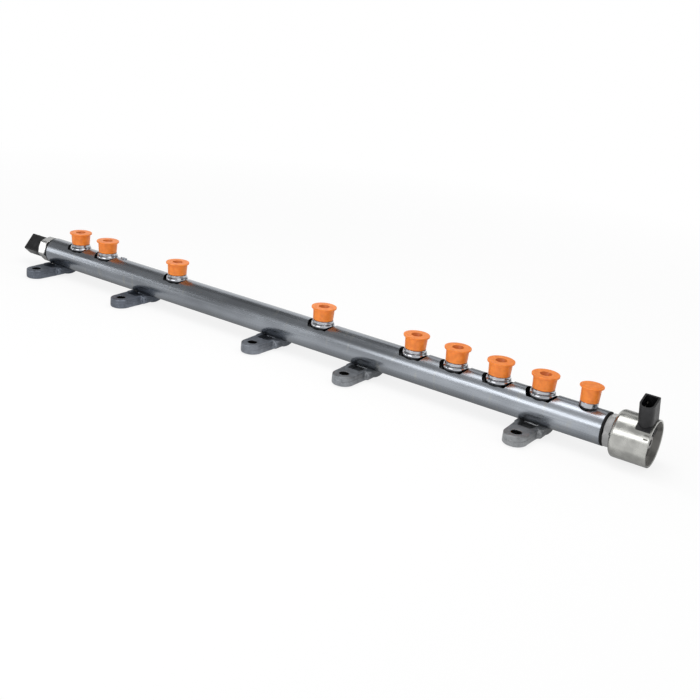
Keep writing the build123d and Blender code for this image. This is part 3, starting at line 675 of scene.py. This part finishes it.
class RAIL_OT_finishes(bpy.types.Operator):
    """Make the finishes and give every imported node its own"""
    bl_idname = "rail.finishes"
    bl_label = "Finishes"

    def execute(self, context):
        finishes.update(make_finishes(context.scene.rail_colours))
        for item in frame["record"]["subparts"]:
            materials = nodes[item["node"]].data.materials
            if not materials:
                materials.append(None)
            for index in range(len(materials)):
                materials[index] = finishes[item["material_slot"]]
        return {"FINISHED"}


class RAIL_OT_tube(bpy.types.Operator):
    """Turn the tube, mill its flats and add the oval pad"""
    bl_idname = "rail.tube"
    bl_label = "Tube"

    def execute(self, context):
        sizes = context.scene.rail_sizes
        mm = millimetres(sizes)
        radius, length = mm.tube_diameter / 2, mm.tube_length
        bore, end_bore, left_depth, right_depth = 5.0, 9.0, 15, 22
        outer, inner = 0.4, 0.8    # chamfers at both ends
        left = Matrix.Translation((tube_low.x, AXIS.y, AXIS.z))
        tube = turned("rail_tube_drawn", circle(128), [
            (end_bore, inner, 0), (end_bore + inner, 0, 0),
            (radius - outer, 0, 0), (radius, outer, 0),
            (radius, length - outer, 0), (radius - outer, length, 0),
            (end_bore + inner, length, 0), (end_bore, length - inner, 0),
            (end_bore, length - right_depth, 0), (bore, length - right_depth, 0),
            (bore, left_depth, 0), (end_bore, left_depth, 0),
        ], left @ Matrix.Rotation(radians(90), 4, "Y"))
        places = [(middle(union), AXIS.y, AXIS.z + sizes.flat_height) for union in UNIONS]
        places.append((middle("return_spigot"), AXIS.y, AXIS.z + sizes.spigot_flat_height))
        reaches = [sizes.flat_diameter / 2] * len(UNIONS) + [sizes.spigot_flat_diameter / 2]
        stations = points_at("milling_stations", places, reaches)
        pad = self.pad()
        grow(tube, milling_tree(), {
            "Stations": stations, "Pad": pad, "Material": finishes["tube_steel"]})
        bpy.data.objects.remove(stations)
        bpy.data.objects.remove(pad)
        self.shade(tube, places, reaches, sizes.tube_diameter / 2)
        dress(tube, "tube_steel", "rail", "rail_tube")
        return {"FINISHED"}

    def pad(self):
        """The small oval pad on the tube, with a shallow hollow in its top."""
        along, half_length, half_width, lean = 86.5 * MM, 3.5, 2.0, radians(-14)
        oval = solid((circle(48), soften([
            (0, 9, 0), (1, 9, 0), (1, 13.0, 0.12), (0.5, 13.0, 0), (0.42, 12.5, 0), (0, 12.5, 0),
        ]), False))
        bmesh.ops.scale(oval, vec=(half_length, half_width, 1.0), verts=oval.verts)
        place = Matrix.Translation((tube_low.x + along, AXIS.y, AXIS.z))
        return thing("oval_pad", oval, place @ Matrix.Rotation(lean, 4, "X"))

    def shade(self, tube, places, reaches, radius):
        """Gives the round surface its true normals, and the milled flats and walls painted shade.
        """
        data = tube.data
        data.materials.append(finishes["seat"])
        data.materials.append(finishes["seat_wall"])
        hair = 0.01 * MM
        normals = []
        for face in data.polygons:
            around = Vector((0, face.center.y - AXIS.y, face.center.z - AXIS.z)).normalized()
            round_face = abs(face.normal.dot(around)) > 0.995
            milled = not (round_face and face.normal.z < 0.999)
            for (x, y, z), reach in zip(places, reaches):
                near = (face.center.x - x) ** 2 + (face.center.y - y) ** 2 < (reach + hair) ** 2
                if near and milled and face.center.z > z - hair:
                    # Painted shade: flats get the dark finish, walls the darker one
                    face.material_index = 1 if face.normal.z > 0.9 else 2
            for loop in face.loop_indices:
                spot = data.vertices[data.loops[loop].vertex_index].co
                out = Vector((0, spot.y - AXIS.y, spot.z - AXIS.z))
                on_skin = abs(out.length - radius) < 3 * hair and round_face
                on_skin = on_skin and face.material_index == 0
                normals.append(out.normalized() if on_skin else face.normal.copy())
        data.shade_smooth()
        data.normals_split_custom_set(normals)


class RAIL_OT_unions(bpy.types.Operator):
    """Turn a union and stand a row of them on the tube's flats"""
    bl_idname = "rail.unions"
    bl_label = "Unions"

    def execute(self, context):
        bore, mouth, top = 1.5, 4.8, 22.5
        cone = (mouth - bore) / tan(radians(30))
        union = turned("union", circle(context.scene.rail_sizes.around), [
            (bore, 8.45, 0), (9.4, 8.45, 0), (9.4, 9.4, 0), (9.4, 12.4, 2.2), (8.1, 12.4, 0.6),
            (8.1, 14.5, 0.45), (6.5, 14.5, 0), (6.5, 15.5, 0), (7.0, 16.0, 0), (7.0, 21.7, 0),
            (6.2, top, 0), (mouth, top, 0), (bore, top - cone, 0)])
        row = points_at("unions", [(middle(node), AXIS.y, AXIS.z) for node in UNIONS])
        grow(row, row_tree(), {
            "Piece": union, "Tilt": 0.0, "Turn": 0.0, "Seed": 1,
            "Material": finishes["port_steel"]})
        bpy.data.objects.remove(union)
        # Painted shade and reflection: the first millimetre above the joint is darkened, darkest
        # right at the joint
        joint = AXIS.z / MM + 9.3
        refinish(row, finishes["seat"], lambda spot: spot.z < joint + 1.0)
        refinish(row, finishes["seat_wall"], lambda spot: spot.z < joint)
        dress(shaded(row), "port_steel", "rail", *UNIONS)
        return {"FINISHED"}


class RAIL_OT_caps(bpy.types.Operator):
    """Mould a transit cap and push one on each union, a little askew"""
    bl_idname = "rail.caps"
    bl_label = "Transit caps"

    def execute(self, context):
        sizes = context.scene.rail_sizes
        flange = millimetres(sizes).cap_flange / 2
        thread, skirt, top, floor = 7.06, 14.7, 25.0, 20.0
        cap = turned("cap", circle(sizes.around), [
            (thread, skirt, 0), (7.85, skirt, 0.25), (8.4, 23.7, 0.3), (flange, 23.7, 0.25),
            (flange, top, 0.3), (4.3, top, 0.2), (3.2, 22.6, 0.15), (1.9, floor, 0.4),
            (0, floor, 0), (0, 19.2, 0), (2.34, 19.2, 0), (4.3, 22.6, 0), (thread, 22.6, 0)])
        row = points_at("transit_caps", [(middle(node), AXIS.y, AXIS.z) for node in UNIONS])
        grow(row, row_tree(), {
            "Piece": cap, "Tilt": sizes.cap_tilt * 0.2, "Turn": pi, "Seed": 4,
            "Material": finishes["cap_plastic"]})
        bpy.data.objects.remove(cap)
        # Painted shade: the hollow of each plug is a deeper orange
        middles = [Vector((middle(node), AXIS.y)) / MM for node in UNIONS]
        low, high = (AXIS.z / MM + height for height in (19.5, 24.7))
        refinish(row, finishes["cap_hollow"], in_bores(middles, 4.25, low, high))
        dress(shaded(row), "cap_plastic", "rail", *CAPS)
        return {"FINISHED"}


class RAIL_OT_spigot(bpy.types.Operator):
    """Turn the return spigot and its closed cap"""
    bl_idname = "rail.spigot"
    bl_label = "Return spigot"

    def execute(self, context):
        around = circle(context.scene.rail_sizes.around)
        stand = Matrix.Translation((middle("return_spigot"), AXIS.y, AXIS.z))
        spigot = turned("return_spigot_turned", around, [
            (2, 10.85, 0), (6.6, 10.85, 0), (6.6, 11.9, 0.3), (5.95, 11.9, 0), (5.95, 12.8, 0.1),
            (6.45, 12.8, 0.1), (6.45, 15.6, 0.4), (4.8, 15.6, 0), (4.8, 20.6, 0), (5.2, 21, 0),
            (5.2, 21.8, 0), (4, 24.6, 0), (2, 24.6, 0)], stand)
        spigot.data.materials.append(finishes["port_steel"])
        # Painted shade: the spigot's foot below this height is darkened
        painted_shade_top = AXIS.z / MM + 12.0
        refinish(spigot, finishes["seat_wall"], lambda spot: spot.z < painted_shade_top)
        dress(shaded(spigot), "port_steel", "rail", "return_spigot")
        cap = turned("return_cap_moulded", around, [
            (5.26, 15.7, 0), (6.4, 15.7, 0.25), (6.8, 25.7, 0.2), (8.3, 25.7, 0.35),
            (8.3, 26.65, 0.4), (6.7, 26.65, 0.15), (6.35, 27, 0.15), (0, 27, 0),
            (0, 24.7, 0), (5.26, 24.7, 0)], stand)
        dress(shaded(cap), "cap_plastic", "rail", "return_cap")
        return {"FINISHED"}


class RAIL_OT_feet(bpy.types.Operator):
    """Give the foot a forged skin and set one under the tube at each station"""
    bl_idname = "rail.feet"
    bl_label = "Feet"

    def execute(self, context):
        mesh = bmesh.new()
        mesh.from_mesh(nodes["foot_3"].data)
        bmesh.ops.remove_doubles(mesh, verts=mesh.verts, dist=SAME_POINT)
        foot = thing("foot", mesh)
        foot.data.materials.clear()
        skin_grid = foot.modifiers.new("forged skin", "REMESH")
        skin_grid.mode = "VOXEL"
        skin_grid.voxel_size = context.scene.rail_sizes.forging_softness
        settle = foot.modifiers.new("soft edges", "SMOOTH")
        settle.factor = 0.5
        settle.iterations = 4
        evaluated(foot)
        lumps, sunk = ((6 * MM, 0.10), (1.6 * MM, 0.04)), 0.06    # widths, then depths in mm
        for vertex in foot.data.vertices:
            lump = sum(noise.noise(vertex.co / width) * depth for width, depth in lumps)
            vertex.co += vertex.normal * (lump - sunk) * MM
            vertex.co.z = max(vertex.co.z, 0.0)
        row = points_at("forged_feet", [(middle(node), 0, 0) for node in FEET])
        shift = middle("foot_3")
        for vertex in foot.data.vertices:
            vertex.co.x -= shift
        grow(row, row_tree(), {
            "Piece": foot, "Tilt": 0.0, "Turn": 0.0, "Seed": 1,
            "Material": finishes["forged_steel"]})
        bpy.data.objects.remove(foot)
        # Painted shade: the walls of the bolt holes are darkened
        holes = [Vector((middle(node) - shift, 0)) / MM for node in FEET]
        refinish(row, finishes["bolt_hole"], in_bores(holes, 3.9, 0.3, 8.4))
        row.data.shade_smooth()
        dress(row, "forged_steel", "rail", *FEET)
        return {"FINISHED"}


def sealing_washer(node, end, around, reach, thickness, rounding):
    """The coated washer between an end of the tube and what is screwed into it."""
    thread = 8.94
    washer = turned(f"{node}_coated", around, [
        (thread, 0, 0), (reach, 0, rounding), (reach, thickness, rounding),
        (thread, thickness, 0)], end)
    dress(shaded(washer), "black_rubber", "rail", node)


class RAIL_OT_sensor(bpy.types.Operator):
    """Make the pressure sensor's outside: sealing washer, hexagon body and connector housing"""
    bl_idname = "rail.sensor"
    bl_label = "Pressure sensor"
    flats = 20    # width of the hexagon across its flats, in millimetres

    def execute(self, context):
        around = circle(context.scene.rail_sizes.around)
        sealing_washer("sensor_washer", LEFT_END, around, 11.6, 1.6, 0.35)
        bore, core, flange = 1.5, 7.0, 10.2
        hexagon_start, hexagon_end, start_face, end_face = 2.95, 12.4, 8.9, 9.75
        bar = self.chamfered(core, start_face, hexagon_start, 1)
        bar += self.chamfered(core, end_face, hexagon_end, -1)[::-1]
        body = thing("sensor_body_turned", solid(
            (around, soften([
                (bore, -14.9, 0), (6.72, -14.9, 0), (8.92, -12.7, 0), (8.92, 1.6, 0),
                (flange, 1.6, 0.2), (flange, 2.9, 0.3), (core, 2.9, 0), (core, 4.0, 0),
                (bore, 4.0, 0)], closed=True), True),
            (hexagon(self.flats, 120), bar, True)),
            LEFT_END @ Matrix.Rotation(radians(17), 4, "Z"))
        body.data.materials.append(finishes["sensor_steel"])
        # Painted shade: the neck between the hexagon and the tube is darkened
        neck = tube_low.x / MM - hexagon_start
        refinish(body, finishes["seat_wall"], lambda spot: spot.x > neck)
        dress(shaded(body), "sensor_steel", "rail", "sensor_body")
        housing = softened("sensor_housing", "sensor_housing_moulded", 0.28)
        dress(housing, "connector_plastic", "rail", "sensor_housing")
        return {"FINISHED"}

    def chamfered(self, core, face, end, way):
        """Profile of one end of the hexagon bar, chamfered to 30 degrees outside its round face."""
        corner, steps = self.flats / 2 / cos(radians(30)) - 0.25, 4
        reaches = [face + (corner - face) * step / steps for step in range(steps + 1)]
        return [(core, end)] + [
            (reach, end + way * (reach - face) * tan(radians(30))) for reach in reaches]


class RAIL_OT_valve(bpy.types.Operator):
    """Make the pressure valve's outside: sealing washer, hexagon, can and D-shaped connector"""
    bl_idname = "rail.valve"
    bl_label = "Pressure valve"

    def execute(self, context):
        sizes = context.scene.rail_sizes
        around = circle(sizes.around)
        sealing_washer("valve_washer", RIGHT_END, around, 11.95, 1.2, 0.3)
        body = softened("valve_body", "valve_body_turned", 0.12)
        dress(body, "valve_steel", "rail", "valve_body")
        self.can(sizes, around)
        connector = softened("valve_connector", "valve_connector_moulded", 0.22)
        dress(connector, "connector_plastic", "rail", "valve_connector")
        return {"FINISHED"}

    def can(self, sizes, around):
        """The drawn can, with the crimped notches beside the connector and a duller inside."""
        outer, wall, hole, back, rim = millimetres(sizes).can_diameter / 2, 1.4, 10.1, 7.0, 33.3
        inner = outer - wall
        can = turned("valve_can_drawn", around, [
            (hole, back, 0.2), (outer, back, 3.0), (outer, rim, 0.55), (inner, rim, 0.55),
            (inner, back + wall, 1.6), (hole, back + wall, 0.2)], steps=6)
        notch_place, flattened = (outer * MM, 0, 30.6 * MM), (1, 0.6, 1, 1)
        punch = thing("crimping_punch", solid((circle(16), soften([
            (0, -1.5, 0), (1.0, -1.5, 0.9), (1.0, 1.5, 0.9), (0, 1.5, 0)]), False)),
            Matrix.Translation(notch_place) @ Matrix.Diagonal(flattened))
        grow(can, notch_tree(), {
            "Punch": punch, "Count": sizes.crimp_count, "First angle": radians(217),
            "Step angle": radians(9), "Material": finishes["can_steel"]})
        bpy.data.objects.remove(punch)
        refinish(can, finishes["can_inside"],
                 lambda spot: spot.xy.length < inner + 0.1 and 9 < spot.z < 33)
        can.data.transform(RIGHT_END)
        dress(shaded(can), "can_steel", "rail", "valve_can")


# Cards around the rail, in metres: name, middle, facing, size, the axis along which its grey
# changes from one place to another, and the grey at both places.
STUDIO_CARDS = [
    ("card_front", (-0.9, -1.0, 0.60), (0, 1, 0), (4.2, 1.02), ("X", -1.15, -0.5), (0.26, 0.80)),
    ("card_above", (-0.7, -0.5, 1.0), (0, 0, -1), (4.0, 1.1), ("X", -0.6, -0.2), (0.34, 0.68)),
    ("card_behind", (-0.7, 0.425, 1.0), (0, 0, -1), (4.0, 0.75), ("X", -0.6, -0.2), (0.20, 0.28)),
    ("card_back", (0.25, 1.3, 0.62), (0, -1, 0), (1.7, 0.80), ("X", -0.6, -0.2), (0.60, 0.25)),
    ("card_floor", (-0.25, -0.3, 0.0001), (0, 0, 1), (1.5, 0.62), ("X", -0.15, 0.12), (0.66, 1.10)),
    ("card_under", (0.02, 0.03, 0.0002), (0, 0, 1), (0.64, 0.05), ("Y", 0.008, 0.03), (0.75, 0.25)),
    ("panel_left", (-1.315, -0.84, 0.31), (0, 1, 0), (0.37, 0.62), ("X", -1.3, -1.1), (3.2, 3.2)),
]


class RAIL_OT_stage(bpy.types.Operator):
    """Set up the pale floor, the soft studio light and the camera"""
    bl_idname = "rail.stage"
    bl_label = "Studio"

    def execute(self, context):
        scene = context.scene
        studio = scene.rail_studio
        level = studio.softbox_level
        self.floor(scene)
        self.room(scene, studio.room_level)
        self.lamp("softbox_front", (-0.11, -0.85, 0.435), (0, 1, -0.3), (0.62, 0.33), level)
        self.lamp("softbox_top", (0.08, 0.045, 0.70), (0, 0, -1), (0.46, 0.33), level)
        for card in STUDIO_CARDS:
            self.card(*card)
        camera = bpy.data.objects.new("camera", bpy.data.cameras.new("camera"))
        scene.collection.objects.link(camera)
        camera.matrix_world = Matrix.Translation(studio.camera_place) @ Euler(
            studio.camera_turn, "XYZ").to_matrix().to_4x4()
        camera.data.sensor_width = 36
        camera.data.lens = studio.focal_length
        camera.data.clip_start = 0.01
        scene.camera = camera
        scene.view_settings.view_transform = "Standard"
        return {"FINISHED"}

    def seen(self, tree):
        """One where the camera, shiny metal or clear plastic looks, and nothing elsewhere."""
        ray = add(tree, "ShaderNodeLightPath").outputs
        looks = ray["Is Camera Ray"]
        for label in ("Is Glossy Ray", "Is Transmission Ray"):
            looks = add(tree, "ShaderNodeMath", {
                "operation": "MAXIMUM", 0: looks, 1: ray[label]}).outputs[0]
        return looks

    def floor(self, scene):
        """A large pale floor that stays white to the camera and keeps the rail's soft shadow."""
        mesh = bmesh.new()
        bmesh.ops.create_grid(mesh, x_segments=2, y_segments=2, size=6.0)
        floor = thing("studio_floor", mesh, Matrix.Translation((0, 0, -0.0003)))
        colour = plus_alpha(scene.rail_colours.floor)
        material, tree, shader, place = finish("pale_floor", colour, 0.0, 0.9)
        away = add(tree, "ShaderNodeVectorMath", {
            "operation": "LENGTH", 0: place}).outputs["Value"]
        # The shadow fades out away from the rail
        faded = add(tree, "ShaderNodeMapRange", {
            "From Min": 0.35, "From Max": 0.9, "To Min": 0.80, "To Max": 1.0,
            "Value": away}).outputs[0]
        share = add(tree, "ShaderNodeMath", {
            "operation": "MULTIPLY", 0: self.seen(tree), 1: faded}).outputs[0]
        white = add(tree, "ShaderNodeEmission", {"Color": (1, 1, 1, 1), "Strength": 1.0}).outputs[0]
        mixed = add(tree, "ShaderNodeMixShader", {
            0: share, 1: shader.outputs[0], 2: white}).outputs[0]
        tree.links.new(mixed, tree.nodes["Material Output"].inputs["Surface"])
        floor.data.materials.append(material)

    def room(self, scene, level):
        """Even light from all round, white where the camera and shiny metal see it."""
        world = bpy.data.worlds.new("studio_room")
        world.use_nodes = True
        scene.world = world
        tree = world.node_tree
        strength = add(tree, "ShaderNodeMapRange", {
            "To Min": level, "To Max": 1.0, "Value": self.seen(tree)}).outputs[0]
        background = tree.nodes["Background"]
        background.inputs["Color"].default_value = (1, 1, 1, 1)
        tree.links.new(strength, background.inputs["Strength"])

    def lamp(self, name, place, facing, size, level):
        """A rectangular softbox with an evenly bright face."""
        light = bpy.data.lights.new(name, "AREA")
        light.shape = "RECTANGLE"
        light.size, light.size_y = size
        light.energy = level * pi * size[0] * size[1]
        lamp = bpy.data.objects.new(name, light)
        bpy.context.scene.collection.objects.link(lamp)
        turn = Vector(facing).to_track_quat("-Z", "Y").to_matrix().to_4x4()
        lamp.matrix_world = Matrix.Translation(place) @ turn
        lamp.visible_camera = False

    def card(self, name, place, facing, size, fade, levels):
        """A grey card that only shiny metal sees, as photographers set beside bright parts."""
        mesh = bmesh.new()
        bmesh.ops.create_grid(mesh, x_segments=1, y_segments=1, size=0.5)
        turn = Vector(facing).to_track_quat("Z", "Y").to_matrix().to_4x4()
        card = thing(name, mesh, Matrix.Translation(place) @ turn @ Matrix.Diagonal((*size, 1, 1)))
        material = bpy.data.materials.new(name)
        material.use_nodes = True
        tree = material.node_tree
        axis, start, end = fade
        spot = add(tree, "ShaderNodeTexCoord").outputs["Object"]
        along = add(tree, "ShaderNodeSeparateXYZ", {0: spot}).outputs[axis]
        level = add(tree, "ShaderNodeMapRange", {
            "From Min": start, "From Max": end, "To Min": levels[0], "To Max": levels[1],
            "Value": along}).outputs[0]
        glow = add(tree, "ShaderNodeEmission", {"Strength": level}).outputs[0]
        tree.links.new(glow, tree.nodes["Material Output"].inputs["Surface"])
        card.data.materials.append(material)
        card.visible_camera = False
        card.visible_diffuse = False
        card.visible_shadow = False
        card.visible_transmission = False


class RAIL_PT_panel(bpy.types.Panel):
    """Sidebar panel with the sizes, the colours and one button for each piece"""
    bl_idname = "RAIL_PT_panel"
    bl_label = "Fuel rail"
    bl_space_type = "VIEW_3D"
    bl_region_type = "UI"
    bl_category = "Fuel rail"

    def draw(self, context):
        for name in GROUPS:
            settings = getattr(context.scene, name)
            for key in settings.__annotations__:
                self.layout.prop(settings, key)
        for operator in OPERATORS:
            self.layout.operator(operator.bl_idname)


OPERATORS = [
    RAIL_OT_finishes, RAIL_OT_tube, RAIL_OT_unions, RAIL_OT_caps, RAIL_OT_spigot, RAIL_OT_feet,
    RAIL_OT_sensor, RAIL_OT_valve, RAIL_OT_stage,
]
GROUPS = {"rail_sizes": RailSizes, "rail_colours": RailColours, "rail_studio": StudioSettings}


def register():
    for settings in GROUPS.values():
        bpy.utils.register_class(settings)
    for operator in OPERATORS:
        bpy.utils.register_class(operator)
    bpy.utils.register_class(RAIL_PT_panel)
    for name, settings in GROUPS.items():
        setattr(bpy.types.Scene, name, PointerProperty(type=settings))


def unregister():
    for name in GROUPS:
        delattr(bpy.types.Scene, name)
    bpy.utils.unregister_class(RAIL_PT_panel)
    for settings in [*OPERATORS, *GROUPS.values()]:
        bpy.utils.unregister_class(settings)


def main():
    register()
    bpy.ops.rail.finishes()
    bpy.ops.rail.tube()
    bpy.ops.rail.unions()
    bpy.ops.rail.caps()
    bpy.ops.rail.spigot()
    bpy.ops.rail.feet()
    bpy.ops.rail.sensor()
    bpy.ops.rail.valve()
    bpy.ops.rail.stage()


if __name__ == "__main__":
    main()
